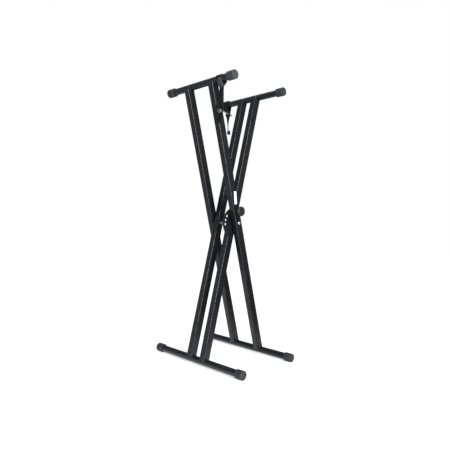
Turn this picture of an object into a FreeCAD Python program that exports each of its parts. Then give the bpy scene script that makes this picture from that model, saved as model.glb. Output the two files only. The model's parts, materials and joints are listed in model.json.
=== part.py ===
import FreeCAD, Part
import math
import os
import re
import Sketcher

# Folding double-X keyboard stand, at rest in its raised position.
# Frame: millimetres, +Z up, origin on the floor midway between the four feet,
# X across the stand, -Y towards the side with the pull knob.
# The outer frame leans to the left at the top, the inner frame to the right.

os.makedirs("parts", exist_ok=True)
doc = FreeCAD.newDocument("keyboard_stand")
sheet = doc.addObject("Spreadsheet::Sheet", "Sizes")

# Driving sizes. Lengths in millimetres, angles in degrees.
SIZES = {
    # Leg tubes
    "leg_length": 994,
    "half_angle": 15,
    "leg_width": 30,
    "leg_depth": 23,
    "leg_wall": 1.5,
    "leg_corner": 3.5,
    "inner_leg_place": 33,
    "leg_gap": 5,
    # Arms and feet
    "arm_diameter": 23,
    "foot_diameter": 23.6,
    "bar_wall": 1.5,
    "arm_span": 335.4,
    "foot_span": 437,
    "bead_size": 2.2,
    # Rubber caps
    "cap_diameter": 30.5,
    "arm_cap_length": 31,
    "foot_cap_length": 28.5,
    "cap_end_wall": 4,
    "cap_edge": 2,
    "cap_dish": 0.6,
    "cap_dish_rim": 2.5,
    "cap_mouth_edge": 0.6,
    # Pivot
    "bolt_diameter": 6,
    "bolt_head_diameter": 13,
    "bolt_head_height": 4.5,
    "bolt_head_edge": 2.9,
    "bolt_tail": 2,
    "nut_flats": 10,
    "nut_height": 6,
    "bush_wall": 2,
    "washer_diameter": 20,
    "running_clearance": 0.05,
    "seat_clearance": 0.3,
    # Lock plate
    "plate_margin": 7,
    "plate_thickness": 3,
    "plate_edge": 0.8,
    "plate_setback": 5,
    "plate_corner": 14,
    "hole_circle": 43.5,
    "hole_diameter": 9,
    "hole_step": 20,
    "fold_angle": 26,
    # Pull knob and plunger
    "pin_diameter": 8,
    "pin_standoff": 0.5,
    "pin_nose": 0.8,
    "pin_guide": 3,
    "collar_diameter": 10.5,
    "collar_height": 2,
    "stem_diameter": 6,
    "stem_grip": 11,
    "sleeve_diameter": 15,
    "chamber_diameter": 11,
    "plug_height": 3,
    "spring_wire": 1,
    "spring_diameter": 8.8,
    "spring_coils": 5,
    "knob_flange_diameter": 30,
    "knob_flange_height": 3.5,
    "knob_waist_diameter": 22,
    "knob_waist_height": 8.5,
    "knob_head_diameter": 34.6,
    "knob_head_height": 8,
    "knob_head_edge": 3,
    "knob_flange_edge": 1.2,
    # Blank strip
    "strip_width": 12,
    "strip_length": 46,
    "strip_corner": 3,
    "strip_thickness": 0.4,
    "strip_across": 3.05,
    "strip_along": 92.4,
    "strip_skew": 8.5,
    # Straps
    "strap_width": 24,
    "strap_thickness": 2,
    "strap_hole_diameter": 5,
    "strap_hole_pitch": 27.5,
    "left_strap_place": 99.5,
    "left_strap_drop": 146.5,
    "left_screw_drop": 107,
    "strap_screw_diameter": 5,
    "strap_screw_head": 15.5,
    "strap_screw_head_height": 4.2,
    "strap_screw_head_edge": 3.6,
    "strap_screw_back": 11,
    "strap_screw_back_height": 2.5,
    "right_strap_place": 118,
    "right_strap_drop": 118,
    "right_screw_diameter": 6,
    "right_screw_margin": 4,
    "right_screw_drop": 38.2,
    "right_screw_reach": 51.5,
    "right_screw_inset": 34.7,
    "right_screw_tilt": 13.5,
    "strap_twist": 45,
    "button_margin": 6,
    "button_neck_diameter": 4.5,
    "button_neck_length": 2,
    "button_head_height": 16.5,
    "button_head_width": 11,
    "button_head_thickness": 7.5,
    "button_edge": 1.8,
}

for row, (alias, size) in enumerate(SIZES.items(), 1):
    sheet.set(f"A{row}", alias)
    sheet.set(f"B{row}", str(size))
    sheet.setAlias(f"B{row}", alias)
doc.recompute()

ALIASES = re.compile(r"\b(" + "|".join(SIZES) + r")\b")


def value(formula):
    return float(sheet.evalExpression(formula))


def bind(target, prop, formula):
    target.setExpression(prop, ALIASES.sub(r"Sizes.\g<0>", formula))


# Places worked out from the driving sizes
FOOT_RISE = "(cap_diameter / 2)"
SIDE = "(leg_length / 2 * sin(half_angle))"
RISE = "(leg_length / 2 * cos(half_angle))"
PIVOT = f"({FOOT_RISE} + {RISE})"
TOP = f"({PIVOT} + {RISE})"
OUTER_LEG = "(inner_leg_place + leg_depth + leg_gap)"
INNER_IN = "(inner_leg_place - leg_depth / 2)"
INNER_OUT = "(inner_leg_place + leg_depth / 2)"
PLATE_OUT = f"({INNER_OUT} + plate_thickness)"
OUTER_IN = f"({OUTER_LEG} - leg_depth / 2)"
OUTER_OUT = f"({OUTER_LEG} + leg_depth / 2)"
PLUG_IN = f"({OUTER_OUT} - plug_height)"
GUIDE_OUT = f"({OUTER_IN} + pin_guide)"
PIN_TIP = f"({PLATE_OUT} + pin_standoff)"
PLATE_RADIUS = "(hole_circle + hole_diameter / 2 + plate_margin)"
PLATE_CUT = "(leg_width / 2 - plate_setback)"
PIN_TRAVEL = "(plate_thickness + pin_standoff - seat_clearance)"
COLLAR_IN = f"({GUIDE_OUT} + {PIN_TRAVEL} + seat_clearance)"
COLLAR_OUT = f"({COLLAR_IN} + collar_height)"
KNOB_IN = f"({OUTER_OUT} + {PIN_TRAVEL} + seat_clearance)"
KNOB_OUT = f"({KNOB_IN} + knob_flange_height + knob_waist_height + knob_head_height)"
BUSH_RADIUS = "(bolt_diameter / 2 + running_clearance + bush_wall)"
X_AXIS = FreeCAD.Vector(1, 0, 0)
Y_AXIS = FreeCAD.Vector(0, 1, 0)
Z_AXIS = FreeCAD.Vector(0, 0, 1)


def plane(body, role):
    return next(item for item in body.Origin.OriginFeatures if item.Role == role)


def place(item, x="", y="", z="", turn="", axis=Y_AXIS):
    item.Placement = FreeCAD.Placement(FreeCAD.Vector(), FreeCAD.Rotation(axis, 1))
    bind(item, ".Placement.Rotation.Angle", turn or "0")
    for name, formula in (("x", x), ("y", y), ("z", z)):
        if formula:
            bind(item, f".Placement.Base.{name}", formula)


def new_body(label):
    body = doc.addObject("PartDesign::Body", label)
    body.Label = label
    return body


def new_sketch(body, role, name):
    sketch = body.newObject("Sketcher::SketchObject", f"{body.Name}_{name}")
    sketch.AttachmentSupport = [(plane(body, role), "")]
    sketch.MapMode = "FlatFace"
    return sketch


def fix(sketch, kind, geometry, point, formula):
    index = sketch.addConstraint(
        Sketcher.Constraint(kind, -1, 1, geometry, point, value(formula)))
    bind(sketch, f"Constraints[{index}]", formula)


def fix_size(sketch, kind, geometry, formula):
    index = sketch.addConstraint(Sketcher.Constraint(kind, geometry, value(formula)))
    bind(sketch, f"Constraints[{index}]", formula)


def add_circle(sketch, x, y, diameter):
    centre = FreeCAD.Vector(value(x), value(y), 0)
    ring = sketch.addGeometry(Part.Circle(centre, Z_AXIS, value(diameter) / 2))
    fix_size(sketch, "Diameter", ring, diameter)
    fix(sketch, "DistanceX", ring, 3, x)
    fix(sketch, "DistanceY", ring, 3, y)


def add_polygon(sketch, points):
    spots = [FreeCAD.Vector(value(x), value(y), 0) for x, y in points]
    first = sketch.GeometryCount
    count = len(points)
    for index, spot in enumerate(spots):
        sketch.addGeometry(Part.LineSegment(spot, spots[(index + 1) % count]))
    for index in range(count):
        following = first + (index + 1) % count
        sketch.addConstraint(Sketcher.Constraint("Coincident", first + index, 2, following, 1))
    for index, (x, y) in enumerate(points):
        fix(sketch, "DistanceX", first + index, 1, x)
        fix(sketch, "DistanceY", first + index, 1, y)


def add_rounded(sketch, width, depth, corner):
    """A rectangle about the sketch's origin with rounded corners."""
    half_x = value(f"{width} / 2 - {corner}")
    half_y = value(f"{depth} / 2 - {corner}")
    radius = value(corner)
    signs = [(1, 1), (-1, 1), (-1, -1), (1, -1)]
    arcs = []
    for quarter, (sx, sy) in enumerate(signs):
        centre = FreeCAD.Vector(sx * half_x, sy * half_y, 0)
        start = quarter * math.pi / 2
        ring = Part.Circle(centre, Z_AXIS, radius)
        arcs.append(sketch.addGeometry(Part.ArcOfCircle(ring, start, start + math.pi / 2)))
    lines = []
    for quarter in range(len(signs)):
        here = sketch.getPoint(arcs[quarter], 2)
        there = sketch.getPoint(arcs[(quarter + 1) % len(signs)], 1)
        lines.append(sketch.addGeometry(Part.LineSegment(here, there)))
    for quarter, (sx, sy) in enumerate(signs):
        following = arcs[(quarter + 1) % len(signs)]
        sketch.addConstraint(Sketcher.Constraint("Tangent", arcs[quarter], 2, lines[quarter], 1))
        sketch.addConstraint(Sketcher.Constraint("Tangent", lines[quarter], 2, following, 1))
        fix_size(sketch, "Radius", arcs[quarter], corner)
        fix(sketch, "DistanceX", arcs[quarter], 3, f"{sx} * ({width} / 2 - {corner})")
        fix(sketch, "DistanceY", arcs[quarter], 3, f"{sy} * ({depth} / 2 - {corner})")


def pad(body, sketch, length, middle=False):
    feature = body.newObject("PartDesign::Pad", f"{sketch.Name}_pad")
    feature.Profile = sketch
    bind(feature, "Length", length)
    if middle:
        feature.SideType = "Symmetric"
    doc.recompute()
    return feature


def cut_through(body, sketch):
    before = body.Shape.Volume
    feature = body.newObject("PartDesign::Pocket", f"{sketch.Name}_cut")
    feature.Profile = sketch
    feature.Type = "ThroughAll"
    feature.SideType = "Symmetric"
    doc.recompute()
    if not body.Shape.Volume < before:
        raise RuntimeError(f"{sketch.Name} cut nothing")
    return feature


def revolve(body, points):
    """Turn an outline of (radius, y) points about the body's Y axis."""
    sketch = new_sketch(body, "XY_Plane", "profile")
    add_polygon(sketch, points)
    feature = body.newObject("PartDesign::Revolution", f"{sketch.Name}_turn")
    feature.Profile = sketch
    feature.ReferenceAxis = (sketch, ["V_Axis"])
    doc.recompute()
    return feature


def ring_edges(feature, diameter, y):
    """Names of the circular edges of one diameter at one place along Y."""
    names = []
    for index, edge in enumerate(feature.Shape.Edges, 1):
        curve = edge.Curve
        if curve.TypeId != "Part::GeomCircle":
            continue
        same_size = math.isclose(curve.Radius * 2, value(diameter), rel_tol=1e-6)
        if same_size and math.isclose(curve.Center.y, value(y), rel_tol=1e-6, abs_tol=1e-6):
            names.append(f"Edge{index}")
    if not names:
        raise RuntimeError(f"no edge found on {feature.Name}")
    return names


def soften(body, feature, names, kind, formula):
    edge = body.newObject(f"PartDesign::{kind}", f"{body.Name}_{kind}")
    edge.Base = (feature, names)
    bind(edge, "Radius" if kind == "Fillet" else "Size", formula)
    doc.recompute()
    return edge


# Square legs of both frames, saddled onto the round bars at their two ends
def make_leg(label, y, turn, holes):
    body = new_body(label)
    section = new_sketch(body, "XY_Plane", "section")
    add_rounded(section, "leg_width", "leg_depth", "leg_corner")
    add_rounded(section, "(leg_width - 2 * leg_wall)", "(leg_depth - 2 * leg_wall)",
                "(leg_corner - leg_wall)")
    pad(body, section, "leg_length", middle=True)
    holes = holes + [("0", "leg_length / 2", "arm_diameter"),
                     ("0", "-leg_length / 2", "foot_diameter")]
    drilling = new_sketch(body, "XZ_Plane", "holes")
    for x, z, diameter in holes:
        add_circle(drilling, x, z, diameter)
    cut_through(body, drilling)
    place(body, y=y, z=PIVOT, turn=turn)


OUTER_TURN = "-half_angle"
INNER_TURN = "half_angle"
BOLT_HOLE = ("0", "0", "bolt_diameter")
BUSH_HOLE = ("0", "0", f"(2 * {BUSH_RADIUS})")
SLEEVE_HOLE = ("0", "hole_circle", "sleeve_diameter")
make_leg("outer_leg_rear", OUTER_LEG, OUTER_TURN, [BOLT_HOLE])
make_leg("outer_leg_front", f"-{OUTER_LEG}", OUTER_TURN, [BOLT_HOLE, SLEEVE_HOLE])
make_leg("inner_leg_rear", "inner_leg_place", INNER_TURN, [BUSH_HOLE])
make_leg("inner_leg_front", "-inner_leg_place", INNER_TURN, [BUSH_HOLE])

# Round arms and feet with a rubber cap on each end and weld beads at the legs
BARS = [
    ("left_arm", f"-{SIDE}", TOP, "arm", OUTER_LEG, OUTER_TURN, "0"),
    ("right_arm", SIDE, TOP, "arm", "inner_leg_place", INNER_TURN, "0"),
    ("left_foot", f"-{SIDE}", FOOT_RISE, "foot", "inner_leg_place", INNER_TURN, "180"),
    ("right_foot", SIDE, FOOT_RISE, "foot", OUTER_LEG, OUTER_TURN, "180"),
]


def make_bar(name, x, z, kind):
    body = new_body(f"{name}_tube")
    ring = new_sketch(body, "XZ_Plane", "ring")
    add_circle(ring, "0", "0", f"{kind}_diameter")
    add_circle(ring, "0", "0", f"({kind}_diameter - 2 * bar_wall)")
    pad(body, ring, f"{kind}_span - 2 * cap_end_wall", middle=True)
    place(body, x=x, z=z)


def make_cap(name, x, z, kind, side):
    body = new_body(f"{name}_cap_{side}")
    bore = f"{kind}_diameter / 2"
    length = f"{kind}_cap_length"
    feature = revolve(body, [
        (bore, "0"),
        ("cap_diameter / 2", "0"),
        ("cap_diameter / 2", length),
        ("cap_diameter / 2 - cap_edge - cap_dish_rim", length),
        ("cap_diameter / 2 - cap_edge - cap_dish_rim - cap_dish", f"{length} - cap_dish"),
        ("0", f"{length} - cap_dish"),
        ("0", f"{length} - cap_end_wall"),
        (bore, f"{length} - cap_end_wall"),
    ])
    feature = soften(body, feature, ring_edges(feature, "cap_diameter", length),
                     "Fillet", "cap_edge")
    soften(body, feature, ring_edges(feature, "cap_diameter", "0"),
           "Fillet", "cap_mouth_edge")
    reach = f"({kind}_span / 2 - {length})"
    if side == "front":
        place(body, x=x, y=f"-{reach}", z=z, turn="180", axis=Z_AXIS)
    else:
        place(body, x=x, y=reach, z=z)


def make_welds(name, x, z, kind, leg, turn, half_turn):
    """Bead round the bar on both faces of both legs, on the leg's side of the bar."""
    beads = []
    for leg_side in (1, -1):
        for face_side in (1, -1):
            bead = doc.addObject("Part::Torus", f"{name}_bead")
            bind(bead, "Radius1", f"{kind}_diameter / 2")
            bind(bead, "Radius2", "bead_size")
            bead.Angle1 = -90
            bead.Angle2 = 0
            bead.Angle3 = 180
            # The ring's axis is turned onto the face's own direction along Y.
            lay = FreeCAD.Rotation(X_AXIS, -90)
            if leg_side * face_side < 0:
                lay = FreeCAD.Rotation(Y_AXIS, 180) * FreeCAD.Rotation(X_AXIS, 90)
            bead.Placement = FreeCAD.Placement(FreeCAD.Vector(), lay)
            bind(bead, ".Placement.Base.y", f"{leg_side} * ({leg} + {face_side} * leg_depth / 2)")
            beads.append(bead)
    group = doc.addObject("Part::Compound", f"{name}_welds")
    group.Label = f"{name}_welds"
    group.Links = beads
    place(group, x=x, z=z, turn=f"{turn} + {half_turn}")


for name, x, z, kind, leg, turn, half_turn in BARS:
    make_bar(name, x, z, kind)
    make_cap(name, x, z, kind, "front")
    make_cap(name, x, z, kind, "rear")
    make_welds(name, x, z, kind, leg, turn, half_turn)


# Pivot hardware. Each bolt is fast in the outer leg, and the inner leg turns on it.
def make_pivot(side):
    """Profiles run outwards along +Y. The front set is turned half round."""
    bolt = new_body(f"pivot_bolt_{side}")
    tail = f"({INNER_IN} - seat_clearance - nut_height - bolt_tail)"
    tip = f"({OUTER_OUT} + bolt_head_height)"
    feature = revolve(bolt, [
        ("0", tail), ("bolt_diameter / 2", tail), ("bolt_diameter / 2", OUTER_OUT),
        ("bolt_head_diameter / 2", OUTER_OUT), ("bolt_head_diameter / 2", tip), ("0", tip),
    ])
    soften(bolt, feature, ring_edges(feature, "bolt_head_diameter", tip),
           "Fillet", "bolt_head_edge")
    nut = new_body(f"pivot_nut_{side}")
    faces = new_sketch(nut, "XZ_Plane", "faces")
    corner = "nut_flats / 2 / cos(30)"
    add_polygon(faces, [(f"{corner} * cos({60 * k})", f"{corner} * sin({60 * k})")
                        for k in range(6)])
    add_circle(faces, "0", "0", "bolt_diameter")
    pad(nut, faces, "nut_height", middle=True)
    bush = new_body(f"pivot_bush_{side}")
    bore = "bolt_diameter / 2 + running_clearance"
    outer_end = PLATE_OUT if side == "front" else INNER_OUT
    revolve(bush, [(bore, INNER_IN), (BUSH_RADIUS, INNER_IN),
                   (BUSH_RADIUS, outer_end), (bore, outer_end)])
    washer = new_body(f"pivot_washer_{side}")
    far = f"({OUTER_IN} - seat_clearance)"
    revolve(washer, [(bore, outer_end), ("washer_diameter / 2", outer_end),
                     ("washer_diameter / 2", far), (bore, far)])
    middle = f"({INNER_IN} - seat_clearance - nut_height / 2)"
    for body, y in ((bolt, ""), (nut, middle), (bush, ""), (washer, "")):
        if side == "front":
            place(body, y=y and f"-{y}", z=PIVOT, turn="180", axis=Z_AXIS)
        else:
            place(body, y=y, z=PIVOT)


make_pivot("front")
make_pivot("rear")

# Lock plate on the knob side of the front inner leg, trimmed just inside the leg's edge
plate = new_body("lock_plate")
disc = new_sketch(plate, "XZ_Plane", "disc")
chord = math.degrees(math.acos(value(f"{PLATE_CUT} / {PLATE_RADIUS}")))
rim = Part.Circle(FreeCAD.Vector(), Z_AXIS, value(PLATE_RADIUS))
arc = disc.addGeometry(Part.ArcOfCircle(rim, math.radians(chord), math.radians(-chord) + 2 * math.pi))
edge = disc.addGeometry(Part.LineSegment(disc.getPoint(arc, 2), disc.getPoint(arc, 1)))
disc.addConstraint(Sketcher.Constraint("Coincident", arc, 3, -1, 1))
disc.addConstraint(Sketcher.Constraint("Coincident", arc, 2, edge, 1))
disc.addConstraint(Sketcher.Constraint("Coincident", edge, 2, arc, 1))
disc.addConstraint(Sketcher.Constraint("Vertical", edge))
fix_size(disc, "Radius", arc, PLATE_RADIUS)
fix(disc, "DistanceX", edge, 1, PLATE_CUT)
add_circle(disc, "0", "0", f"(2 * {BUSH_RADIUS})")
LOCK_TURNS = ["-fold_angle"] + [f"{step} * hole_step" for step in range(7)]
for lock_turn in LOCK_TURNS:
    spot = f"(90 + 2 * half_angle + {lock_turn})"
    add_circle(disc, f"hole_circle * cos({spot})", f"hole_circle * sin({spot})", "hole_diameter")
blank = pad(plate, disc, "plate_thickness")
corners = [f"Edge{index}" for index, edge in enumerate(blank.Shape.Edges, 1)
           if edge.Curve.TypeId == "Part::GeomLine"
           and math.isclose(edge.Length, edge.BoundBox.YLength, rel_tol=1e-6)
           and math.isclose(edge.CenterOfMass.x, value(PLATE_CUT), rel_tol=1e-6)]
blank = soften(plate, blank, corners, "Fillet", "plate_corner")
soften(plate, blank, ring_edges(blank, f"2 * {PLATE_RADIUS}", "-plate_thickness"),
       "Chamfer", "plate_edge")
place(plate, y=f"-{INNER_OUT}", z=PIVOT, turn=INNER_TURN)


# Plunger, its sleeve in the front outer leg and the pull knob, all on one axis
def on_plunger_axis(body):
    place(body, x="-hole_circle * sin(half_angle)", turn="180", axis=Z_AXIS,
          z=f"{PIVOT} + hole_circle * cos(half_angle)")


sleeve = new_body("plunger_sleeve")
guide = "pin_diameter / 2 + running_clearance"
revolve(sleeve, [
    (guide, OUTER_IN), ("sleeve_diameter / 2", OUTER_IN), ("sleeve_diameter / 2", OUTER_OUT),
    ("chamber_diameter / 2", OUTER_OUT), ("chamber_diameter / 2", GUIDE_OUT),
    (guide, GUIDE_OUT),
])
plug = new_body("plunger_plug")
stem_bore = "stem_diameter / 2 + running_clearance"
revolve(plug, [(stem_bore, PLUG_IN), ("chamber_diameter / 2", PLUG_IN),
               ("chamber_diameter / 2", OUTER_OUT), (stem_bore, OUTER_OUT)])
pin = new_body("plunger_pin")
stem_end = f"({KNOB_IN} + stem_grip)"
feature = revolve(pin, [
    ("0", PIN_TIP), ("pin_diameter / 2", PIN_TIP), ("pin_diameter / 2", COLLAR_IN),
    ("collar_diameter / 2", COLLAR_IN), ("collar_diameter / 2", COLLAR_OUT),
    ("stem_diameter / 2", COLLAR_OUT), ("stem_diameter / 2", stem_end), ("0", stem_end),
])
soften(pin, feature, ring_edges(feature, "pin_diameter", PIN_TIP), "Chamfer", "pin_nose")
knob = new_body("pull_knob")
waist_in = f"({KNOB_IN} + knob_flange_height)"
waist_out = f"({waist_in} + knob_waist_height)"
feature = revolve(knob, [
    ("stem_diameter / 2", KNOB_IN), ("knob_flange_diameter / 2", KNOB_IN),
    ("knob_flange_diameter / 2", waist_in), ("knob_waist_diameter / 2", waist_in),
    ("knob_waist_diameter / 2", waist_out), ("knob_head_diameter / 2", waist_out),
    ("knob_head_diameter / 2", KNOB_OUT), ("0", KNOB_OUT),
    ("0", stem_end), ("stem_diameter / 2", stem_end),
])
feature = soften(knob, feature, ring_edges(feature, "knob_head_diameter", KNOB_OUT),
                 "Fillet", "knob_head_edge")
feature = soften(knob, feature, ring_edges(feature, "knob_head_diameter", waist_out),
                 "Fillet", "knob_flange_edge")
soften(knob, feature, ring_edges(feature, "knob_flange_diameter", KNOB_IN),
       "Fillet", "knob_flange_edge")
for body in (sleeve, plug, pin, knob):
    on_plunger_axis(body)

# Coil spring between the pin's collar and the plug, with its ends just off both
coil = doc.addObject("Part::Helix", "spring_path")
free_height = f"({PLUG_IN} - {COLLAR_OUT} - spring_wire - 2 * seat_clearance)"
bind(coil, "Pitch", f"{free_height} / spring_coils")
bind(coil, "Height", free_height)
bind(coil, "Radius", "(spring_diameter - spring_wire) / 2")
wire = doc.addObject("Part::Circle", "spring_wire_section")
bind(wire, "Radius", "spring_wire / 2")
wire.Placement = FreeCAD.Placement(FreeCAD.Vector(), FreeCAD.Rotation(X_AXIS, 90))
bind(wire, ".Placement.Base.x", "(spring_diameter - spring_wire) / 2")
spring = doc.addObject("Part::Sweep", "plunger_spring")
spring.Label = "plunger_spring"
spring.Sections = [wire]
spring.Spine = (coil, ["Edge1"])
spring.Solid = True
spring.Frenet = True
spring.Placement = FreeCAD.Placement(FreeCAD.Vector(), FreeCAD.Rotation(X_AXIS, 90))
bind(spring, ".Placement.Base.x", "-hole_circle * sin(half_angle)")
bind(spring, ".Placement.Base.y", f"-({COLLAR_OUT} + seat_clearance + spring_wire / 2)")
bind(spring, ".Placement.Base.z", f"{PIVOT} + hole_circle * cos(half_angle)")

# Blank white strip stuck a little askew on the front outer leg
strip = new_body("blank_strip")
face = new_sketch(strip, "XZ_Plane", "face")
add_rounded(face, "strip_width", "strip_length", "strip_corner")
pad(strip, face, "strip_thickness")
place(strip, x="strip_across * cos(half_angle) - strip_along * sin(half_angle)",
      y=f"-{OUTER_OUT}",
      z=f"{PIVOT} + strip_across * sin(half_angle) + strip_along * cos(half_angle)",
      turn="strip_skew - half_angle")

# Soft rubber straps. Each loops over its arm and hangs from it. Their outlines run in
# the XZ plane from the arm's axis: loops as (angle, share of the loop's inner radius),
# hanging lengths as (x, z) shares of the strap's drop.
LEFT_LOOP_SHARES = [
    (213, 1), (180, 1), (150, 1), (120, 1), (90, 1),
    (65, 1.04), (40, 1.19), (15, 1.45), (-8, 1.62), (-30, 1.63), (-50, 1.69), (-68, 1.86),
]
LEFT_NEAR_SHARES = [(0.02, -0.191), (0.015, -0.273), (0.016, -0.42), (0.014, -0.608),
                    (0.001, -0.724), (-0.014, -0.86), (-0.038, -1)]
LEFT_FAR_SHARES = [(0.062, -0.191), (0.055, -0.273), (0.043, -0.42), (0.02, -0.608),
                   (0.005, -0.724), (-0.01, -0.86), (-0.024, -1)]
RIGHT_LOOP_SHARES = [
    (246, 1.86), (230, 1.44), (208, 1.16), (182, 1.08), (150, 1.12), (125, 1.18), (104, 1.2),
    (80, 1.1), (50, 1), (20, 1), (-10, 1), (-38, 1.04), (-60, 1.36),
]
RIGHT_FOLD_SHARES = [(0.024, -0.237), (0.031, -0.29), (0.035, -0.338), (0.035, -0.386)]
RIGHT_HANG_SHARES = [
    (0.035, -0.29, 0), (0.035, -0.361, 0.05), (0.035, -0.432, 0.36), (0.035, -0.503, 0.58),
    (0.035, -0.574, 0.74), (0.035, -0.645, 0.88), (0.035, -0.716, 0.97), (0.035, -0.787, 1),
    (0.035, -0.858, 1), (0.035, -0.929, 1), (0.035, -1, 1),
]


def aside(points, distance):
    """The points moved to the left of their run by a distance."""
    moved = []
    for index, point in enumerate(points):
        before = points[max(index - 1, 0)]
        after = points[min(index + 1, len(points) - 1)]
        along = (after - before).normalize()
        moved.append(point + FreeCAD.Vector(-along.z, 0, along.x) * distance)
    return moved


def smooth(points, split=None):
    """Edges of one curve through the points, in two parts where it is split."""
    curve = Part.BSplineCurve()
    curve.interpolate(points)
    if split is None:
        return [curve.toShape()]
    middle = curve.parameter(points[split])
    return [curve.toShape(curve.FirstParameter, middle), curve.toShape(middle, curve.LastParameter)]


def strap_edge(loop_shares, hang_shares, drop, thickness, radius, y):
    """Outer and inner outlines of one edge of a strap, both in the plane of that edge."""
    hang = [FreeCAD.Vector(x * drop, y, z * drop) for x, z in hang_shares]
    loop = [FreeCAD.Vector(math.cos(math.radians(turn)), 0, math.sin(math.radians(turn)))
            * (share * radius) + FreeCAD.Vector(0, y, 0) for turn, share in loop_shares]
    meeting = hang[0] + FreeCAD.Vector(0, 0, thickness)
    inner = [meeting] + loop + [meeting]
    outer = aside(inner, thickness)
    left = aside(hang, -thickness)
    right = aside(hang, thickness)
    outer[0] = left[0]
    outer[-1] = right[0]
    crown = next(index for index, (turn, share) in enumerate(loop_shares, 1) if turn <= 105)
    outline = smooth(left[::-1]) + smooth(outer, crown) + smooth(right)
    outline.append(Part.makeLine(right[-1], left[-1]))
    return Part.Wire(outline), Part.Wire(smooth(inner, crown))


def strap_shape(loop_shares, near_shares, far_shares, drop, y):
    width = value("strap_width")
    thickness = value("strap_thickness")
    radius = value("arm_diameter / 2")
    near = strap_edge(loop_shares, near_shares, drop, thickness, radius, -y - width / 2)
    far = strap_edge(loop_shares, far_shares, drop, thickness, radius, -y + width / 2)
    body = Part.makeLoft([near[0], far[0]], True, True)
    arm = Part.makeCylinder(radius, 2 * width, FreeCAD.Vector(0, -y - width, 0), Y_AXIS)
    return body.cut([Part.makeLoft([near[1], far[1]], True, True), arm])


def along_x(diameter, x, y, z, length):
    return Part.makeCylinder(diameter / 2, length, FreeCAD.Vector(x, y, z),
                             FreeCAD.Vector(1, 0, 0))


def moved(shape, placement):
    """The shape moved for good, so that its own placement stays free."""
    shape.transformShape(placement.toMatrix(), True)
    return shape


def add_feature(label, shape, x, z):
    feature = doc.addObject("Part::Feature", label)
    feature.Label = label
    feature.Shape = shape
    place(feature, x=x, z=z)


# Left strap: a loop and two layers hanging together, held by a domed screw
drop = value("left_strap_drop")
y = value("left_strap_place")
shape = strap_shape(LEFT_LOOP_SHARES, LEFT_NEAR_SHARES, LEFT_FAR_SHARES, drop, y)
hole = value("strap_hole_diameter")
pitch = value("strap_hole_pitch")
reach = value("strap_width")
screw_drop = value("left_screw_drop")
for steps in (1, -1, -2):
    cutter = along_x(hole, -reach, -y, -screw_drop - steps * pitch, 2 * reach)
    shape = shape.cut(cutter)
shank = value("strap_screw_diameter")


def domed_screw(length, x, y, z):
    """Screw along +X from a point, with a domed head before it and a round back behind it."""
    head = value("strap_screw_head")
    height = value("strap_screw_head_height")
    back = value("strap_screw_back")
    back_height = value("strap_screw_back_height")
    dome = along_x(head, x - height, y, z, height)
    rims = [edge for edge in dome.Edges if edge.Closed and edge.CenterOfMass.x < x - height / 2]
    dome = dome.makeFillet(value("strap_screw_head_edge"), rims)
    return dome.fuse([along_x(shank, x, y, z, length),
                      along_x(back, x + length, y, z, back_height)])


# The screw's head and back press into the two layers.
grip = value("strap_thickness")
screw_x = (LEFT_NEAR_SHARES[4][0] + LEFT_FAR_SHARES[4][0]) / 2 * drop
screw = domed_screw(2 * grip, screw_x - grip, -y, -screw_drop).removeSplitter()
add_feature("left_strap", shape.cut(screw), f"-{SIDE}", TOP)
add_feature("left_strap_screw", screw, f"-{SIDE}", TOP)

# Right strap: a loop clamped by a long screw and one layer that hangs with a twist
drop = value("right_strap_drop")
y = -value("right_strap_place")
loop = strap_shape(RIGHT_LOOP_SHARES, RIGHT_FOLD_SHARES, RIGHT_FOLD_SHARES, drop, y)
width = value("strap_width")
thickness = value("strap_thickness")
sections = []
for x_share, z_share, twist_share in RIGHT_HANG_SHARES:
    section = Part.makePlane(thickness, width, FreeCAD.Vector(-thickness / 2, -width / 2, 0))
    section.rotate(FreeCAD.Vector(), Z_AXIS, -value("strap_twist") * twist_share)
    section.translate(FreeCAD.Vector(x_share * drop, -y, z_share * drop))
    sections.append(section.OuterWire)
hanging = Part.makeLoft(sections, True, False)
shape = loop.fuse(hanging)
screw_drop = value("right_screw_drop")
tilt = value("right_screw_tilt")
start = -value("right_screw_inset")
length = value("right_screw_reach")
screw_side = -y - value("strap_width / 2 - right_screw_margin")
screw_spot = FreeCAD.Vector(0, screw_side, -screw_drop)
screw = moved(along_x(value("right_screw_diameter"), start, 0, 0, length),
              FreeCAD.Placement(screw_spot, FreeCAD.Rotation(Y_AXIS, tilt)))
shape = shape.cut(screw)
button_drop = value("right_strap_drop - button_margin")
twist = value("strap_twist")
centre = FreeCAD.Vector(RIGHT_HANG_SHARES[-1][0] * drop, -y, -button_drop)
facing = FreeCAD.Rotation(Z_AXIS, -twist)
neck = value("button_neck_diameter")
neck_length = value("button_neck_length")
tall = value("button_head_height")
wide = value("button_head_width")
deep = value("button_head_thickness")
head = Part.makeBox(deep, wide, tall, FreeCAD.Vector(neck_length, -wide / 2, -tall / 2))
head = head.makeFillet(value("button_edge"), head.Edges)
flat = value("strap_thickness / 2")
back = along_x(wide, -flat - value("button_edge"), 0, 0, value("button_edge"))
button = head.fuse([along_x(neck, -flat, 0, 0, neck_length + flat + deep / 2), back])
button = moved(button.removeSplitter(), FreeCAD.Placement(centre, facing))
opening = along_x(neck, -thickness, 0, 0, 2 * thickness)
shape = shape.cut(moved(opening, FreeCAD.Placement(centre, facing)))
add_feature("right_strap", shape, SIDE, TOP)
add_feature("right_strap_screw", screw, SIDE, TOP)
add_feature("right_strap_button", button, SIDE, TOP)

doc.recompute()

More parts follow.
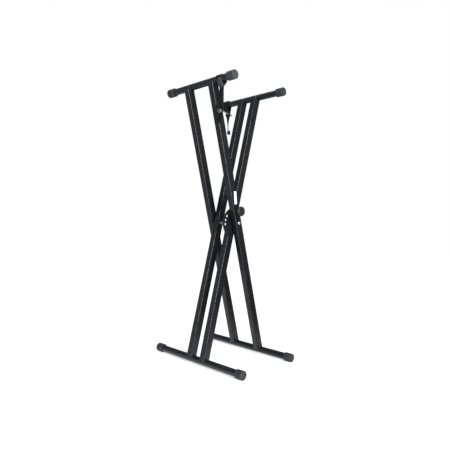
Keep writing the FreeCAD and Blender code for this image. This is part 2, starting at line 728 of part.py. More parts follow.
# Every object must be sound before anything is written
NODES = [item for item in doc.Objects
         if item.TypeId in ("PartDesign::Body", "Part::Compound", "Part::Feature", "Part::Sweep")]
for item in doc.Objects:
    if "Invalid" in item.State or "Error" in item.State:
        raise RuntimeError(f"{item.Label} failed: {item.State}")
for item in NODES:
    if item.Shape.isNull() or not item.Shape.isValid() or not item.Shape.Solids:
        raise RuntimeError(f"{item.Label} has no sound solid")
for item in NODES:
    item.Shape.exportStep(f"parts/{item.Label}.step")
    box = item.Shape.BoundBox
    print(f"{item.Label}: {len(item.Shape.Solids)} solids, {item.Shape.Volume:.0f} mm3, "
          f"x {box.XMin:.1f}..{box.XMax:.1f} y {box.YMin:.1f}..{box.YMax:.1f} "
          f"z {box.ZMin:.1f}..{box.ZMax:.1f}")
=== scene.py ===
import bpy
import bmesh
import json
import math
from mathutils import Matrix, Vector


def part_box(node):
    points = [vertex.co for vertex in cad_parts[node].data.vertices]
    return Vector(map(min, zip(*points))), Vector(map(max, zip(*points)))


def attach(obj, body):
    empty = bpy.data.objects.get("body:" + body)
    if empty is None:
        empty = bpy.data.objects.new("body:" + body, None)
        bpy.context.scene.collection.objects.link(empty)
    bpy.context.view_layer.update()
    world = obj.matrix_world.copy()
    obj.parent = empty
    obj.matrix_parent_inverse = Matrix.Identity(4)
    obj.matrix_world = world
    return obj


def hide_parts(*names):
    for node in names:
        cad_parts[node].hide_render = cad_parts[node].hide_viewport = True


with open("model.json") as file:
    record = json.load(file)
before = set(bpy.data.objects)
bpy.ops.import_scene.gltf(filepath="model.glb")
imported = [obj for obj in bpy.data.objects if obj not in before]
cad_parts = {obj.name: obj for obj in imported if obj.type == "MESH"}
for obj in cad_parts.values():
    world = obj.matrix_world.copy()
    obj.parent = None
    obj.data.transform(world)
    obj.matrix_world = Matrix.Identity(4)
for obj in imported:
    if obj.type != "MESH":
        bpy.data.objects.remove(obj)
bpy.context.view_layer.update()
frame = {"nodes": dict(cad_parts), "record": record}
nodes = frame["nodes"]
print("frame loaded:", len(nodes), "solids")


def middle(node):
    low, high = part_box(node)
    return (Vector(low) + Vector(high)) / 2


def mathNode(tree, kind, first, second):
    node = tree.nodes.new("ShaderNodeMath")
    node.operation = kind
    for socket, value in zip(node.inputs, (first, second)):
        if isinstance(value, (int, float)):
            socket.default_value = value
        else:
            tree.links.new(value, socket)
    return node.outputs[0]


def spread(tree, value, fromLow, fromHigh, toLow, toHigh):
    node = tree.nodes.new("ShaderNodeMapRange")
    tree.links.new(value, node.inputs["Value"])
    for key, number in (("From Min", fromLow), ("From Max", fromHigh), ("To Min", toLow),
                        ("To Max", toHigh)):
        node.inputs[key].default_value = number
    return node.outputs["Result"]


# Materials: every finish is one node tree of noise on object coordinates
noiseTree = {"mottleDetail": 6, "roughDetail": 4, "grainDetail": 3, "roughScale": 3,
             "mottleFrom": 0.35, "mottleTo": 0.65, "roughFrom": 0.3, "roughTo": 0.7, "bump": 0.6}
finishes = {
    "blackCoat": {"dark": (0.0045, 0.0052, 0.0068), "light": (0.0075, 0.0084, 0.0104),
                  "mottle": 22, "rough": (0.24, 0.33), "grain": 1400, "height": 0.00005,
                  "tint": (0.86, 0.93, 1)},
    "capRubber": {"dark": (0.018, 0.0195, 0.0222), "light": (0.0275, 0.0292, 0.0335),
                  "mottle": 60, "rough": (0.5, 0.66), "grain": 2600, "height": 0.00006},
    # Painted light: a paler copy of the cap rubber, for the one cap that stands in stronger light.
    "capPaintedLightRubber": {"dark": (0.032, 0.0345, 0.0395), "light": (0.05, 0.0535, 0.061),
                   "mottle": 60, "rough": (0.46, 0.6), "grain": 2600, "height": 0.00006},
    "strapRubber": {"dark": (0.004, 0.004, 0.0048), "light": (0.008, 0.008, 0.009),
                    "mottle": 90, "rough": (0.34, 0.46), "grain": 3200, "height": 0.00005,
                    "specular": 0.2},
    "zincPlate": {"dark": (0.68, 0.74, 0.79), "light": (0.84, 0.91, 0.96), "metal": 1,
                  "mottle": 260, "rough": (0.2, 0.36), "grain": 3000, "height": 0.00003},
    "chromePlate": {"dark": (0.82, 0.82, 0.84), "light": (0.92, 0.92, 0.93), "metal": 1,
                    "mottle": 200, "rough": (0.06, 0.14), "grain": 2000, "height": 0.00001},
    "dullNickel": {"dark": (0.2, 0.2, 0.21), "light": (0.32, 0.32, 0.33), "metal": 1,
                   "mottle": 240, "rough": (0.3, 0.42), "grain": 2600, "height": 0.00002},
    "blackNylon": {"dark": (0.02, 0.02, 0.022), "light": (0.03, 0.03, 0.032),
                   "mottle": 120, "rough": (0.4, 0.5), "grain": 2600, "height": 0.00004},
    "knobPlastic": {"dark": (0.012, 0.012, 0.0135), "light": (0.02, 0.02, 0.0218),
                    "mottle": 70, "rough": (0.2, 0.28), "grain": 2200, "height": 0.00006},
    "whiteFilm": {"dark": (0.84, 0.84, 0.84), "light": (0.9, 0.9, 0.9),
                  "mottle": 40, "rough": (0.45, 0.6), "grain": 1800, "height": 0.00002},
}
# Painted light: strap rubber painted paler between two heights, where it is bent round the arm and
# faces the bright floor
finishes["strapPaintedLightRubber"] = {**finishes["strapRubber"], "paintedLight": (0.092, 0.089, 0.09),
                          "paintedLightFrom": 0.9465, "paintedLightTo": 0.9755, "paintedLightFade": 0.003}


def makeFinish(name, look):
    material = bpy.data.materials.new(name)
    material.use_nodes = True
    tree = material.node_tree
    shader = tree.nodes["Principled BSDF"]
    shader.inputs["Metallic"].default_value = look.get("metal", 0)
    shader.inputs["Specular IOR Level"].default_value = look.get("specular", 0.5)
    shader.inputs["Specular Tint"].default_value = (*look.get("tint", (1, 1, 1)), 1)
    place = tree.nodes.new("ShaderNodeTexCoord").outputs["Object"]

    def noise(scale, detail):
        node = tree.nodes.new("ShaderNodeTexNoise")
        node.inputs["Scale"].default_value = scale
        node.inputs["Detail"].default_value = detail
        tree.links.new(place, node.inputs["Vector"])
        return node.outputs["Fac"]

    mottle = noise(look["mottle"], noiseTree["mottleDetail"])
    ramp = tree.nodes.new("ShaderNodeValToRGB")
    darkStop, lightStop = ramp.color_ramp.elements
    darkStop.position, lightStop.position = noiseTree["mottleFrom"], noiseTree["mottleTo"]
    darkStop.color = (*look["dark"], 1)
    lightStop.color = (*look["light"], 1)
    tree.links.new(mottle, ramp.inputs["Fac"])
    colour = ramp.outputs["Color"]
    # Painted light: a paler colour is mixed in between two heights, for light reflected onto the
    # strap's bend.
    if "paintedLight" in look:
        split = tree.nodes.new("ShaderNodeSeparateXYZ")
        tree.links.new(place, split.inputs[0])
        rise = mathNode(tree, "SUBTRACT", split.outputs["Z"], look["paintedLightFrom"])
        fall = mathNode(tree, "SUBTRACT", look["paintedLightTo"], split.outputs["Z"])
        paintedLightMask = mathNode(tree, "DIVIDE", mathNode(tree, "MINIMUM", rise, fall), look["paintedLightFade"])
        paintedLightMask.node.use_clamp = True
        paintedLightMix = tree.nodes.new("ShaderNodeMixRGB")
        tree.links.new(paintedLightMask, paintedLightMix.inputs["Fac"])
        tree.links.new(colour, paintedLightMix.inputs["Color1"])
        paintedLightMix.inputs["Color2"].default_value = (*look["paintedLight"], 1)
        colour = paintedLightMix.outputs["Color"]
    tree.links.new(colour, shader.inputs["Base Color"])
    patches = noise(look["mottle"] * noiseTree["roughScale"], noiseTree["roughDetail"])
    rough = spread(tree, patches, noiseTree["roughFrom"], noiseTree["roughTo"], *look["rough"])
    tree.links.new(rough, shader.inputs["Roughness"])
    bump = tree.nodes.new("ShaderNodeBump")
    bump.inputs["Distance"].default_value = look["height"]
    bump.inputs["Strength"].default_value = noiseTree["bump"]
    tree.links.new(noise(look["grain"], noiseTree["grainDetail"]), bump.inputs["Height"])
    tree.links.new(bump.outputs["Normal"], shader.inputs["Normal"])
    return material


materials = {name: makeFinish(name, look) for name, look in finishes.items()}
slotFinish = {
    "frame_black": "blackCoat", "cap_rubber": "capRubber", "strap_rubber": "strapRubber",
    "zinc_steel": "zincPlate", "strap_chrome": "chromePlate", "nylon": "blackNylon",
    "knob_plastic": "knobPlastic", "strip_white": "whiteFilm",
}
# Painted light: one cap and one strap's bend are painted paler than the others, for the stronger light
# falling on them.
nodeFinish = {"left_strap_screw": "dullNickel", "right_strap_button": "strapRubber",
              "left_arm_cap_front": "capPaintedLightRubber", "left_strap": "strapPaintedLightRubber"}
for part in frame["record"]["subparts"]:
    solid = nodes[part["node"]]
    look = nodeFinish.get(part["node"], slotFinish[part["material_slot"]])
    solid.data.materials.clear()
    solid.data.materials.append(materials[look])
print("finishes made:", len(materials))


def finishPiece(piece, body, slotName, replaced, smoothAngle):
    mesh = piece.data
    mesh.materials.clear()
    mesh.materials.append(materials[nodeFinish.get(replaced[0], slotFinish[slotName])])
    mesh.shade_smooth()
    mesh.set_sharp_from_angle(angle=math.radians(smoothAngle))
    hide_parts(*replaced)
    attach(piece, body)


mergeDistance = 1e-6


def meshPiece(name, points, faces):
    mesh = bpy.data.meshes.new(name)
    mesh.from_pydata([tuple(point) for point in points], [], faces)
    mesh.validate()
    piece = bpy.data.objects.new(name, mesh)
    bpy.context.scene.collection.objects.link(piece)
    shell = bmesh.new()
    shell.from_mesh(mesh)
    bmesh.ops.remove_doubles(shell, verts=shell.verts, dist=mergeDistance)
    bmesh.ops.recalc_face_normals(shell, faces=shell.faces)
    shell.to_mesh(mesh)
    shell.free()
    return piece


def bake(piece):
    graph = bpy.context.evaluated_depsgraph_get()
    baked = bpy.data.meshes.new_from_object(piece.evaluated_get(graph))
    piece.modifiers.clear()
    piece.data = baked
    return piece


# Rubber caps with a shallow diamond tread moulded into their sides and a dished end
capTread = {"around": 12, "pitch": 0.0085, "depth": 0.0005, "groove": 0.16, "steep": 1.6,
            "bandStart": 0.0035, "bandMargin": 0.0015}
capForm = {"segments": 144, "step": 0.0008, "edge": 0.002, "edgeSteps": 6, "mouthEdge": 0.0007,
           "mouthInset": 0.0004, "smoothAngle": 50}
capDish = {"rim": 0.0028, "depth": 0.0008, "lipWide": 0.0004, "lipDeep": 0.0002,
           "slopeWide": 0.0008, "floorShare": 0.5, "floorSink": 1.2, "centreSink": 1.3}


def grooveDepth(turn, along):
    deepest = 0
    for way in (1, -1):
        phase = turn / (2 * math.pi) * capTread["around"] + way * along / capTread["pitch"]
        off = abs(phase - round(phase))
        deepest = max(deepest, 1 - off / capTread["groove"])
    return capTread["depth"] * max(0, min(1, deepest * capTread["steep"]))


def capProfile(radius, length, boreRadius):
    edge, mouthEdge = capForm["edge"], capForm["mouthEdge"]
    profile = [(boreRadius, 0), (radius - mouthEdge, 0), (radius, mouthEdge)]
    sideEnd = length - edge
    rows = round((sideEnd - mouthEdge) / capForm["step"])
    for row in range(1, rows + 1):
        profile.append((radius, mouthEdge + (sideEnd - mouthEdge) * row / rows))
    for step in range(1, capForm["edgeSteps"] + 1):
        turn = step / capForm["edgeSteps"] * math.pi / 2
        profile.append((radius - edge * (1 - math.cos(turn)), sideEnd + edge * math.sin(turn)))
    rim = radius - edge - capDish["rim"]
    profile += [(rim, length), (rim - capDish["lipWide"], length - capDish["lipDeep"]),
                (rim - capDish["slopeWide"], length - capDish["depth"]),
                (rim * capDish["floorShare"], length - capDish["depth"] * capDish["floorSink"])]
    return profile


def makeCap(node, body, out, boreRadius):
    low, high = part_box(node)
    centre = middle(node)
    radius = (high[0] - low[0]) / 2
    length = high[1] - low[1]
    mouth = low[1] if out > 0 else high[1]
    profile = capProfile(radius, length, boreRadius)
    bandStart, bandEnd = capTread["bandStart"], length - capForm["edge"] - capTread["bandMargin"]
    points, faces = [], []
    count = capForm["segments"]
    for radiusHere, along in profile:
        treaded = radiusHere == radius and bandStart < along < bandEnd
        for index in range(count):
            turn = 2 * math.pi * index / count
            here = radiusHere - (grooveDepth(turn, along) if treaded else 0)
            points.append((centre.x + here * math.cos(turn), mouth + out * along,
                           centre.z + here * math.sin(turn)))
    for row in range(len(profile) - 1):
        for index in range(count):
            following = (index + 1) % count
            faces.append((row * count + index, row * count + following,
                          (row + 1) * count + following, (row + 1) * count + index))
    # The dish is closed at its centre, and the mouth just inside the bar, which hides it.
    last = (len(profile) - 1) * count
    closings = ((last, length - capDish["depth"] * capDish["centreSink"]),
                (0, capForm["mouthInset"]))
    for first, along in closings:
        points.append((centre.x, mouth + out * along, centre.z))
        for index in range(count):
            faces.append((first + index, first + (index + 1) % count, len(points) - 1))
    piece = meshPiece(node.replace("_", "") + "Tread", points, faces)
    finishPiece(piece, body, "cap_rubber", [node], capForm["smoothAngle"])


capBodies = {"left_arm": "outer_frame", "right_arm": "inner_frame",
             "left_foot": "inner_frame", "right_foot": "outer_frame"}
for bar, body in capBodies.items():
    low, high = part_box(bar + "_tube")
    boreRadius = (high[0] - low[0]) / 2
    makeCap(bar + "_cap_front", body, -1, boreRadius)
    makeCap(bar + "_cap_rear", body, 1, boreRadius)
print("caps made")


# Rubber straps: bands that follow a smooth path and may twist about the vertical
millimetre = 0.001
strapBand = {"width": 0.024, "thickness": 0.002, "hole": 0.0025, "cell": 0.0022,
             "holeCells": 2, "spacing": 0.0024, "slack": 1e-6, "border": 0.002,
             "roundEdge": 0.0005, "roundSteps": 2, "edgeAngle": 55, "smoothAngle": 45,
             "pathSteps": 24, "halvings": 50}


def smoothPath(stops):
    # Catmull-Rom through the stops, read off by the distance along it
    dense = []
    for index in range(len(stops) - 1):
        a = stops[max(index - 1, 0)]
        b, c = stops[index], stops[index + 1]
        d = stops[min(index + 2, len(stops) - 1)]
        for step in range(strapBand["pathSteps"]):
            t = step / strapBand["pathSteps"]
            dense.append([0.5 * (2 * q + (r - p) * t + (2 * p - 5 * q + 4 * r - s) * t * t
                                 + (3 * q - p - 3 * r + s) * t ** 3)
                          for p, q, r, s in zip(a, b, c, d)])
    dense.append(list(stops[-1]))
    run = [0]
    for here, there in zip(dense, dense[1:]):
        run.append(run[-1] + math.dist(here[:2], there[:2]))

    def at(distance):
        distance = min(max(distance, 0), run[-1])
        low, high = 0, len(run) - 1
        while high - low > 1:
            half = (low + high) // 2
            if run[half] <= distance:
                low = half
            else:
                high = half
        part = (distance - run[low]) / (run[high] - run[low])
        return [p + (q - p) * part for p, q in zip(dense[low], dense[high])]

    return at, run[-1]


def distanceAt(at, drop, low, high):
    # Halve the stretch between a lower point and a higher one until it meets the drop.
    for attempt in range(strapBand["halvings"]):
        half = (low + high) / 2
        if at(half / millimetre)[1] < drop:
            low = half
        else:
            high = half
    return low


def bandStations(length, holes):
    reach = strapBand["holeCells"]
    marks = {0.0, length}
    for hole in holes:
        for cell in range(-reach, reach + 1):
            marks.add(hole + cell * strapBand["cell"])
    marks = sorted(marks)
    stations = [marks[0]]
    for here, there in zip(marks, marks[1:]):
        parts = max(1, math.ceil((there - here) / strapBand["spacing"] - strapBand["slack"]))
        stations += [here + (there - here) * part / parts for part in range(1, parts + 1)]
    return stations


def makeBand(name, place, length, holes):
    # A grid of cells, open over each hole, where a ring of faces joins it to the round rim
    half, cell, reach = strapBand["width"] / 2, strapBand["cell"], strapBand["holeCells"]
    inner = half - strapBand["border"]
    columns = (cell * column for column in range(-reach - 1, reach + 2))
    across = [-half, -inner, *columns, inner, half]
    centreColumn = across.index(0)
    along = bandStations(length, holes)
    points, faces, grid = [], [], {}
    holeRows = [min(range(len(along)), key=lambda row: abs(along[row] - hole)) for hole in holes]

    def point(row, column):
        if (row, column) not in grid:
            grid[row, column] = len(points)
            points.append(place(along[row], across[column]))
        return grid[row, column]

    blocked = set()
    for holeRow in holeRows:
        for row in range(holeRow - reach, holeRow + reach):
            for column in range(centreColumn - reach, centreColumn + reach):
                blocked.add((row, column))
    for row in range(len(along) - 1):
        for column in range(len(across) - 1):
            if (row, column) not in blocked:
                faces.append((point(row, column), point(row, column + 1),
                              point(row + 1, column + 1), point(row + 1, column)))
    rising, falling = range(-reach, reach), range(reach, -reach, -1)
    ringCells = ([(-reach, side) for side in rising] + [(side, reach) for side in rising]
                 + [(reach, side) for side in falling] + [(side, -reach) for side in falling])
    for hole, holeRow in zip(holes, holeRows):
        outer, rim = [], []
        for rowStep, columnStep in ringCells:
            outer.append(point(holeRow + rowStep, centreColumn + columnStep))
            turn = math.atan2(columnStep, rowStep)
            rim.append(len(points))
            points.append(place(hole + strapBand["hole"] * math.cos(turn),
                                strapBand["hole"] * math.sin(turn)))
        for index in range(len(outer)):
            following = (index + 1) % len(outer)
            faces.append((outer[index], outer[following], rim[following], rim[index]))
    piece = meshPiece(name, points, faces)
    wall = piece.modifiers.new("wall", "SOLIDIFY")
    wall.thickness = strapBand["thickness"]
    wall.offset = 0
    wall.use_even_offset = True
    edge = piece.modifiers.new("roundEdge", "BEVEL")
    edge.width = strapBand["roundEdge"]
    edge.segments = strapBand["roundSteps"]
    edge.limit_method = "ANGLE"
    edge.angle_limit = math.radians(strapBand["edgeAngle"])
    return bake(piece)


# Stops are (x, z, lean) in millimetres from the arm's axis, where lean is how much
# further to the right the far edge lies than the near one. Loops are (turn in degrees
# about that axis, reach as a share of the grip).
leftStrap = {
    "y": -0.0995, "grip": 12.6, "layerGap": 0.03, "leanFrom": 0.55, "leanShare": 0.8,
    "hanging": [(2.9, -28, 6.2), (2.2, -40, 5.9), (2.3, -61.5, 4.0), (2.1, -89, 0.9),
                (0.2, -106, 0.6), (-2.0, -126, 0.6), (-5.6, -146.5, 2.1)],
    "loop": [(213, 1), *((turn, 1) for turn in range(195, 75, -15)), (75, 1.01), (62, 1.05),
             (48, 1.12), (34, 1.22), (20, 1.36), (6, 1.48), (-8, 1.57), (-22, 1.6),
             (-36, 1.62), (-50, 1.68), (-64, 1.8)],
    "holesUp": [-134.5, -79.5, -52],
}


def leftStops():
    layer = strapBand["thickness"] / 2 / millimetre + leftStrap["layerGap"]
    stops = [(x - layer, z, lean) for x, z, lean in reversed(leftStrap["hanging"])]
    loopLean = leftStrap["hanging"][0][2]
    count = len(leftStrap["loop"])
    for index, (turn, share) in enumerate(leftStrap["loop"]):
        reach = leftStrap["grip"] * share
        # The lean of the layers fades out towards the loop's middle.
        side = abs(index / (count - 1) * 2 - 1)
        fade = max(0, side - leftStrap["leanFrom"]) / (1 - leftStrap["leanFrom"])
        stops.append((reach * math.cos(math.radians(turn)), reach * math.sin(math.radians(turn)),
                      loopLean * fade * leftStrap["leanShare"]))
    stops += [(x + layer, z, lean) for x, z, lean in leftStrap["hanging"]]
    return stops


def armAxis(side):
    axis = middle(side + "_arm_tube")
    return axis.x, axis.z


def makeLeftStrap():
    axisX, axisZ = armAxis("left")
    at, total = smoothPath(leftStops())
    total *= millimetre
    half = strapBand["width"] / 2

    def place(along, across):
        x, z, lean = at(along / millimetre)
        return (axisX + (x + lean * (across + half) / strapBand["width"]) * millimetre,
                leftStrap["y"] + across, axisZ + z * millimetre)

    holes = [distanceAt(at, drop, end, total / 2) for drop in leftStrap["holesUp"]
             for end in (0, total)]
    piece = makeBand("leftStrapBand", place, total, sorted(holes))
    finishPiece(piece, "outer_frame", "strap_rubber", ["left_strap"], strapBand["smoothAngle"])


# Here the third value of a stop is the share of the twist.
rightStrap = {
    "y": 0.118, "grip": 12.6,
    "fold": [(2.9, -45, 0), (2.8, -39, 0), (2.2, -33, 0), (0.2, -28.5, 0), (-4.2, -25.4, 0)],
    "loop": [(248, 1.82), (240, 1.66), (228, 1.4), (212, 1.19), (196, 1.09), (180, 1.06),
             (160, 1.1), (140, 1.14), (122, 1.17), (106, 1.19), (90, 1.13), (72, 1.05),
             *((turn, 1) for turn in range(54, -36, -18)), (-34, 1.02), (-50, 1.2), (-63, 1.5)],
    "hanging": [(5.0, -32, 0), (5.3, -38, 0), (5.2, -44, 0.18), (4.6, -51, 0.4), (4.1, -58, 0.58),
                (4.1, -66, 0.74), (4.1, -74, 0.87), (4.1, -84, 1), (4.1, -100, 1), (4.1, -118, 1)],
    "twist": 42, "holes": [-56, -84],
}


def makeRightStrap():
    axisX, axisZ = armAxis("right")
    stops = list(rightStrap["fold"])
    for turn, share in rightStrap["loop"]:
        reach = rightStrap["grip"] * share
        stops.append((reach * math.cos(math.radians(turn)), reach * math.sin(math.radians(turn)), 0))
    stops += rightStrap["hanging"]
    at, total = smoothPath(stops)
    total *= millimetre

    def place(along, across):
        x, z, share = at(along / millimetre)
        twist = math.radians(rightStrap["twist"]) * share
        return (axisX + x * millimetre + across * math.sin(twist),
                rightStrap["y"] + across * math.cos(twist), axisZ + z * millimetre)

    holes = [distanceAt(at, drop, total, total / 2) for drop in rightStrap["holes"]]
    piece = makeBand("rightStrapBand", place, total, sorted(holes))
    finishPiece(piece, "inner_frame", "strap_rubber", ["right_strap"], strapBand["smoothAngle"])


makeLeftStrap()
makeRightStrap()
print("straps made")

# Weld beads: overlapping ripples laid along the half rings where legs meet bars
weld = {"bead": 0.0022, "pitch": 0.0017, "long": 0.75, "wide": 1.04, "uneven": 0.12, "seed": 7,
        "segments": 12, "rings": 6, "arcSteps": 24, "smoothAngle": 60}
weldSizes = ("Pitch", "Bead", "Long", "Wide", "Uneven")
weldRings = {
    "outer_frame": [("left_arm", "outer_leg"), ("right_foot", "outer_leg")],
    "inner_frame": [("right_arm", "inner_leg"), ("left_foot", "inner_leg")],
}


def weldTree():
    tree = bpy.data.node_groups.new("weldRipples", "GeometryNodeTree")
    tree.is_modifier = True
    face = tree.interface
    face.new_socket("Geometry", in_out="INPUT", socket_type="NodeSocketGeometry")
    sockets = {}
    for label in weldSizes:
        sockets[label] = face.new_socket(label, in_out="INPUT", socket_type="NodeSocketFloat")
        sockets[label].default_value = weld[label.lower()]
    sockets["Seed"] = face.new_socket("Seed", in_out="INPUT", socket_type="NodeSocketInt")
    sockets["Coat"] = face.new_socket("Coat", in_out="INPUT", socket_type="NodeSocketMaterial")
    face.new_socket("Geometry", in_out="OUTPUT", socket_type="NodeSocketGeometry")
    given = tree.nodes.new("NodeGroupInput")
    result = tree.nodes.new("NodeGroupOutput")
    link = tree.links.new

    curve = tree.nodes.new("GeometryNodeMeshToCurve")
    link(given.outputs["Geometry"], curve.inputs["Mesh"])
    points = tree.nodes.new("GeometryNodeCurveToPoints")
    points.mode = "LENGTH"
    link(curve.outputs["Curve"], points.inputs["Curve"])
    link(given.outputs["Pitch"], points.inputs["Length"])
    ball = tree.nodes.new("GeometryNodeMeshUVSphere")
    ball.inputs["Segments"].default_value = weld["segments"]
    ball.inputs["Rings"].default_value = weld["rings"]
    link(given.outputs["Bead"], ball.inputs["Radius"])
    # Each ripple is short along the bead, a little wide across it, and uneven in size.
    shape = tree.nodes.new("ShaderNodeCombineXYZ")
    link(given.outputs["Wide"], shape.inputs["X"])
    link(given.outputs["Wide"], shape.inputs["Y"])
    link(given.outputs["Long"], shape.inputs["Z"])
    chance = tree.nodes.new("FunctionNodeRandomValue")
    chance.data_type = "FLOAT"
    low = mathNode(tree, "SUBTRACT", 1, given.outputs["Uneven"])
    link(low, chance.inputs["Min"])
    chance.inputs["Max"].default_value = 1
    link(given.outputs["Seed"], chance.inputs["Seed"])
    size = tree.nodes.new("ShaderNodeVectorMath")
    size.operation = "SCALE"
    link(shape.outputs["Vector"], size.inputs[0])
    link(chance.outputs["Value"], size.inputs["Scale"])
    ripples = tree.nodes.new("GeometryNodeInstanceOnPoints")
    link(points.outputs["Points"], ripples.inputs["Points"])
    link(ball.outputs["Mesh"], ripples.inputs["Instance"])
    link(points.outputs["Rotation"], ripples.inputs["Rotation"])
    link(size.outputs["Vector"], ripples.inputs["Scale"])
    real = tree.nodes.new("GeometryNodeRealizeInstances")
    link(ripples.outputs["Instances"], real.inputs["Geometry"])
    paint = tree.nodes.new("GeometryNodeSetMaterial")
    link(real.outputs["Geometry"], paint.inputs["Geometry"])
    link(given.outputs["Coat"], paint.inputs["Material"])
    link(paint.outputs["Geometry"], result.inputs["Geometry"])
    return tree, {label: socket.identifier for label, socket in sockets.items()}


def weldPaths(rings):
    points, edges = [], []
    for bar, legs in rings:
        tubeLow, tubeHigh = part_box(bar + "_tube")
        radius = (tubeHigh[0] - tubeLow[0]) / 2
        centre = middle(bar + "_tube")
        pivot = middle("pivot_bolt_front")
        towards = math.atan2(pivot.z - centre.z, pivot.x - centre.x)
        for side in ("_front", "_rear"):
            legLow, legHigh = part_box(legs + side)
            for y in (legLow[1], legHigh[1]):
                first = len(points)
                for step in range(weld["arcSteps"] + 1):
                    turn = towards + math.pi * (step / weld["arcSteps"] - 0.5)
                    points.append((centre.x + radius * math.cos(turn), y,
                                   centre.z + radius * math.sin(turn)))
                    if step:
                        edges.append((first + step - 1, first + step))
    return points, edges


def makeWelds(tree, inputs, body, rings):
    points, edges = weldPaths(rings)
    mesh = bpy.data.meshes.new("path")
    mesh.from_pydata(points, edges, [])
    piece = bpy.data.objects.new(body.split("_")[0] + "WeldBeads", mesh)
    bpy.context.scene.collection.objects.link(piece)
    ripple = piece.modifiers.new("ripples", "NODES")
    ripple.node_group = tree
    for label in weldSizes:
        ripple[inputs[label]] = float(weld[label.lower()])
    ripple[inputs["Seed"]] = weld["seed"]
    ripple[inputs["Coat"]] = materials["blackCoat"]
    bake(piece)
    finishPiece(piece, body, "frame_black", [bar + "_welds" for bar, legs in rings],
                weld["smoothAngle"])


rippleTree, rippleInputs = weldTree()
for body, rings in weldRings.items():
    makeWelds(rippleTree, rippleInputs, body, rings)
print("welds made")

# Camera where the photograph was taken from, worked out for a square 36 mm frame
view = {"place": (-1.1491, -1.1289, 0.5077), "yaw": 45.556, "pitch": -0.711, "roll": 0.668,
        "lens": 34.806, "sensor": 36}


def makeCamera():
    yaw, pitch, roll = (math.radians(view[key]) for key in ("yaw", "pitch", "roll"))
    ahead = Vector((math.sin(yaw) * math.cos(pitch), math.cos(yaw) * math.cos(pitch), math.sin(pitch)))
    right = Vector((math.cos(yaw), -math.sin(yaw), 0))
    up = right.cross(ahead)
    tiltRight = right * math.cos(roll) + up * math.sin(roll)
    tiltUp = up * math.cos(roll) - right * math.sin(roll)
    data = bpy.data.cameras.new("camera")
    data.sensor_width = view["sensor"]
    data.lens = view["lens"]
    camera = bpy.data.objects.new("camera", data)
    camera.matrix_world = Matrix.Translation(view["place"]) @ Matrix(
        (tiltRight, tiltUp, -ahead)).transposed().to_4x4()
    bpy.context.scene.collection.objects.link(camera)
    bpy.context.scene.camera = camera


makeCamera()

# Pale floor and white background, with a tall soft lamp beside the camera, a weak one far
# to the right and one overhead
stage = {"floor": 14, "floorLevel": -0.0002, "floorRough": 0.9, "floorTone": 0.8,
         "nearLift": 0.5, "farLift": 0.8, "blendFrom": 0.5, "blendTo": 2.6, "nearShine": 0.38,
         "shineReach": 1.2, "floorReach": 0.9, "floorDim": 0.12, "ambient": 0.34,
         "shineLow": 0.42, "shineHigh": 0.14, "shineFrom": 0.02, "shineTo": 0.5,
         "sideReach": 1.2, "sideDim": 0.54, "sideBright": 1.65}
lampTarget = (0, 0, 0.5)
lamps = {
    "frontLamp": {"place": (-0.75, -2.2, 1.1), "wide": 0.75, "tall": 2.1, "power": 88},
    "sideLamp": {"place": (2.3, -2.2, 1.5), "wide": 1.6, "tall": 1.2, "power": 1},
    "topLamp": {"place": (-0.3, 0.5, 3.2), "wide": 2.6, "tall": 2.6, "power": 26},
}


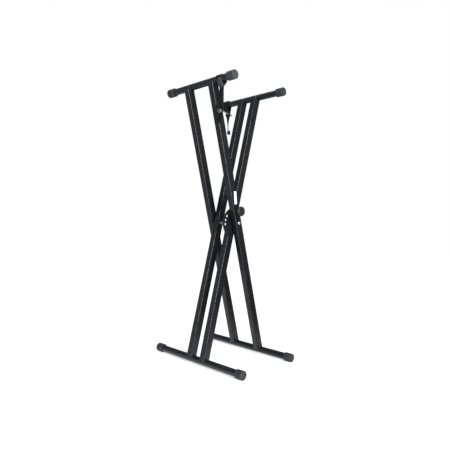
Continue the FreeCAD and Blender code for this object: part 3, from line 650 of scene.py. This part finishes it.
def makeFloor():
    half, low = stage["floor"] / 2, stage["floorLevel"]
    floor = meshPiece("floor", [(-half, -half, low), (half, -half, low), (half, half, low),
                                (-half, half, low)], [(0, 1, 2, 3)])
    material = bpy.data.materials.new("floorPaper")
    material.use_nodes = True
    tree = material.node_tree
    shader = tree.nodes["Principled BSDF"]
    shader.inputs["Roughness"].default_value = stage["floorRough"]
    shader.inputs["Specular IOR Level"].default_value = 0
    shader.inputs["Emission Color"].default_value = (1, 1, 1, 1)
    place = tree.nodes.new("ShaderNodeTexCoord").outputs["Object"]
    reach = tree.nodes.new("ShaderNodeVectorMath")
    reach.operation = "LENGTH"
    tree.links.new(place, reach.inputs[0])
    lift = spread(tree, reach.outputs["Value"], stage["blendFrom"], stage["blendTo"],
                  stage["nearLift"], stage["farLift"])
    shine = spread(tree, reach.outputs["Value"], stage["blendFrom"], stage["shineReach"],
                   stage["nearShine"], 0)
    path = tree.nodes.new("ShaderNodeLightPath")
    # Mirrored, the floor on the right of the picture is dimmer, like the room above it.
    split = tree.nodes.new("ShaderNodeSeparateXYZ")
    tree.links.new(place, split.inputs[0])
    across = mathNode(tree, "SUBTRACT", split.outputs["Y"], split.outputs["X"])
    dim = spread(tree, across, -stage["floorReach"], 0, 1 - stage["floorDim"], 0)
    keep = mathNode(tree, "SUBTRACT", 1,
                    mathNode(tree, "MULTIPLY", dim, path.outputs["Is Glossy Ray"]))
    tone = mathNode(tree, "MULTIPLY", keep, stage["floorTone"])
    tree.links.new(tone, shader.inputs["Base Color"])
    shine = mathNode(tree, "MULTIPLY", shine, keep)
    seen = mathNode(tree, "MAXIMUM", path.outputs["Is Camera Ray"],
                    path.outputs["Is Transmission Ray"])
    level = mathNode(tree, "ADD", mathNode(tree, "MULTIPLY", seen, lift),
                     mathNode(tree, "MULTIPLY", path.outputs["Is Glossy Ray"], shine))
    tree.links.new(level, shader.inputs["Emission Strength"])
    floor.data.materials.append(material)


def makeWorld():
    world = bpy.data.worlds.new("world")
    bpy.context.scene.world = world
    world.use_nodes = True
    tree = world.node_tree
    background = tree.nodes["Background"]
    background.inputs["Color"].default_value = (1, 1, 1, 1)
    split = tree.nodes.new("ShaderNodeSeparateXYZ")
    tree.links.new(tree.nodes.new("ShaderNodeTexCoord").outputs["Generated"], split.inputs[0])
    shine = spread(tree, split.outputs["Z"], stage["shineFrom"], stage["shineTo"],
                   stage["shineLow"], stage["shineHigh"])
    # The room is mirrored dimmer on the right of the picture.
    across = mathNode(tree, "SUBTRACT", split.outputs["Y"], split.outputs["X"])
    shine = mathNode(tree, "MULTIPLY", shine, spread(tree, across, -stage["sideReach"],
                     stage["sideReach"], stage["sideDim"], stage["sideBright"]))
    path = tree.nodes.new("ShaderNodeLightPath")
    white = mathNode(tree, "MAXIMUM", path.outputs["Is Camera Ray"],
                     path.outputs["Is Transmission Ray"])
    glossy = mathNode(tree, "MULTIPLY", path.outputs["Is Glossy Ray"], shine)
    lit = mathNode(tree, "MULTIPLY", stage["ambient"],
                   mathNode(tree, "SUBTRACT", 1, path.outputs["Is Glossy Ray"]))
    level = mathNode(tree, "MAXIMUM", white, mathNode(tree, "ADD", glossy, lit))
    tree.links.new(level, background.inputs["Strength"])


def makeLamps():
    for name, lamp in lamps.items():
        data = bpy.data.lights.new(name, "AREA")
        data.shape = "RECTANGLE"
        data.size = lamp["wide"]
        data.size_y = lamp["tall"]
        data.energy = lamp["power"]
        light = bpy.data.objects.new(name, data)
        light.location = lamp["place"]
        light.rotation_mode = "QUATERNION"
        ahead = Vector(lampTarget) - Vector(lamp["place"])
        light.rotation_quaternion = ahead.to_track_quat("-Z", "Y")
        bpy.context.scene.collection.objects.link(light)


makeFloor()
makeWorld()
makeLamps()
bpy.context.scene.view_settings.view_transform = "Standard"
print("stage set")
